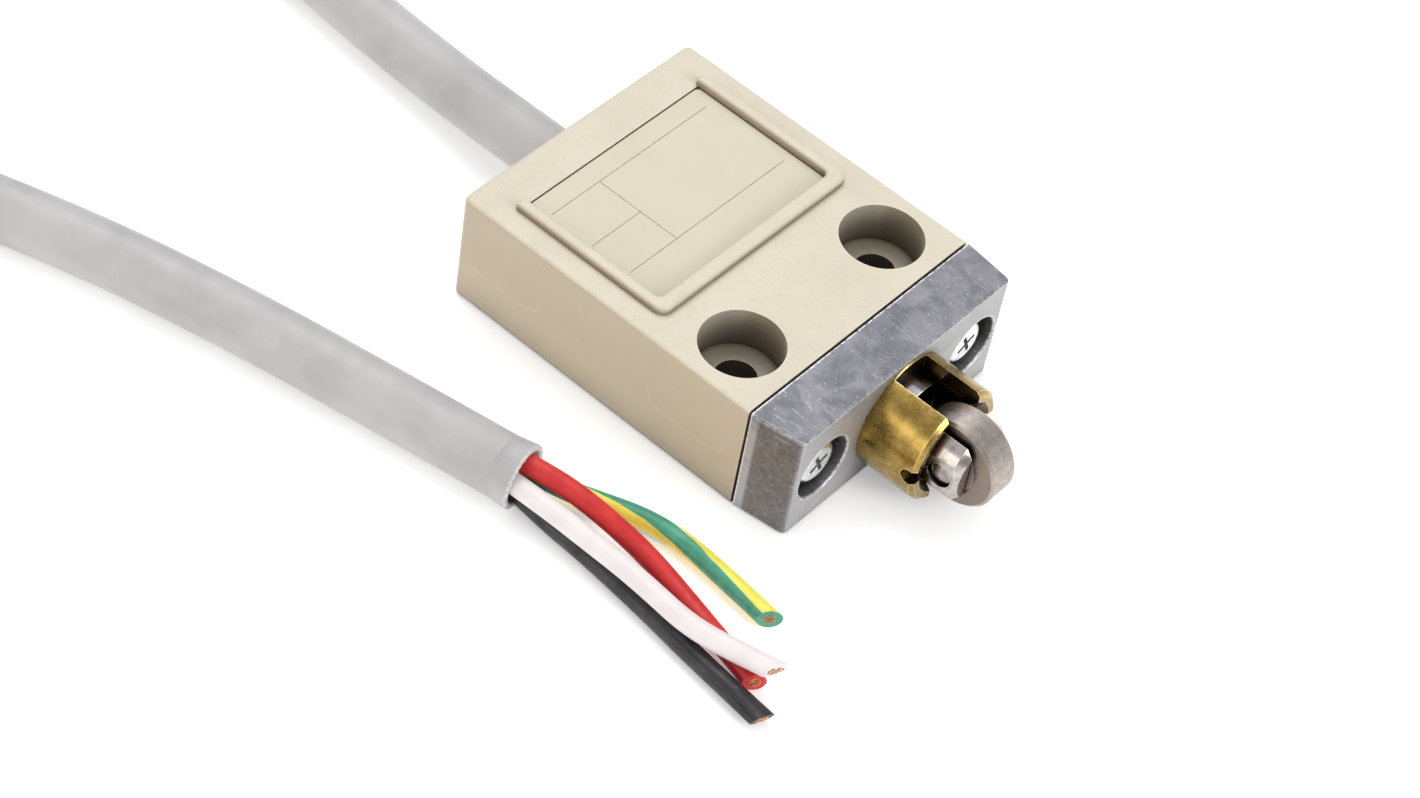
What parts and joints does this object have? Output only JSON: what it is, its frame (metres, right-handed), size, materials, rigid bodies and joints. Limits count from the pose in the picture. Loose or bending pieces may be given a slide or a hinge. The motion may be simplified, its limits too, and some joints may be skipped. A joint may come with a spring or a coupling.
{
  "type": "limit switch",
  "caption": "Compact enclosed limit switch with a roller plunger, a die-cast case with counterbored mounting holes, and a pre-wired cable with bare cores.",
  "frame": {"origin": "midway between the two mounting holes, on the back face that the switch is mounted by", "axes": "+X the way the plunger and its roller point, +Y from one mounting hole to the other, +Z from the back face to the nameplate"},
  "size_m": [0.2567, 0.1237, 0.0326],
  "materials": {
    "cream_paint": "satin",
    "label_film": "matte",
    "bare_diecast": "satin",
    "turned_brass": "polished",
    "stainless": "brushed",
    "roller_steel": "satin",
    "zinc_plated_steel": "polished",
    "spring_steel": "polished",
    "seal_rubber": "matte",
    "gasket_rubber": "matte",
    "switch_moulding": "matte",
    "button_plastic": "satin",
    "contact_alloy": "polished",
    "blade_copper": "polished",
    "grey_jacket": "satin",
    "red_insulation": "satin",
    "white_insulation": "satin",
    "black_insulation": "satin",
    "green_yellow_insulation": "satin",
    "copper_strand": "polished",
    "tie_plastic": "satin"
  },
  "bodies": {
    "case": {"housing": "cream_paint", "nameplate": "label_film", "back_cover": "cream_paint", "back_gasket": "gasket_rubber", "back_cover_screws": "zinc_plated_steel", "head_gasket": "gasket_rubber", "head_plate": "bare_diecast", "head_screws": "zinc_plated_steel", "guide_bush": "turned_brass", "seal_ring": "seal_rubber", "seal_washer": "stainless", "return_spring": "spring_steel", "spring_seat": "stainless", "switch_case": "switch_moulding", "switch_cover": "switch_moulding", "switch_screws": "zinc_plated_steel", "common_terminal": "turned_brass", "nc_terminal": "turned_brass", "no_terminal": "turned_brass", "fixed_contacts": "contact_alloy", "cable_grommet": "seal_rubber", "cable_clamp": "zinc_plated_steel", "cable_entry": "grey_jacket", "earth_tag": "turned_brass", "earth_screw": "zinc_plated_steel", "inner_lead_red": "red_insulation", "inner_lead_white": "white_insulation", "inner_lead_black": "black_insulation", "inner_lead_earth": "green_yellow_insulation", "cable_lead": "grey_jacket", "cable_coil": "grey_jacket", "cable_tail": "grey_jacket", "coil_ties": "tie_plastic", "core_red": "red_insulation", "core_white": "white_insulation", "core_black": "black_insulation", "core_earth": "green_yellow_insulation", "core_strands": "copper_strand"},
    "plunger": {"plunger": "stainless", "roller_pin": "stainless", "pusher_clip": "spring_steel", "overtravel_spring": "spring_steel"},
    "roller": {"roller": "roller_steel"},
    "pusher": {"pusher": "stainless", "switch_button": "button_plastic"},
    "blade": {"moving_blade": "blade_copper", "moving_contact": "contact_alloy"}
  },
  "joints": [
    {"name": "plunger_slide", "type": "slide", "parent": "case", "child": "plunger", "axis": [1, 0, 0], "range_m": [-0.0048, 0], "stiffness_N_per_m": 1200, "springref_m": 0.005, "deforming": ["return_spring", "overtravel_spring"]},
    {"name": "roller_spin", "type": "hinge", "parent": "plunger", "child": "roller", "pos_m": [0.0242, 0, 0.008], "axis": [0, 1, 0], "continuous": true},
    {"name": "pusher_slide", "type": "slide", "parent": "case", "child": "pusher", "axis": [1, 0, 0], "range_m": [-0.0006, 0]},
    {"name": "blade_swing", "type": "hinge", "parent": "case", "child": "blade", "pos_m": [-0.0119, -0.007, 0.008], "axis": [0, 0, 1], "range_deg": [0, 4.2]}
  ],
  "couplings": [
    {"joint": "pusher_slide", "follows": "plunger_slide", "ratio": 0.10417},
    {"joint": "blade_swing", "follows": "plunger_slide", "rad_per_m": -14.88}
  ]
}
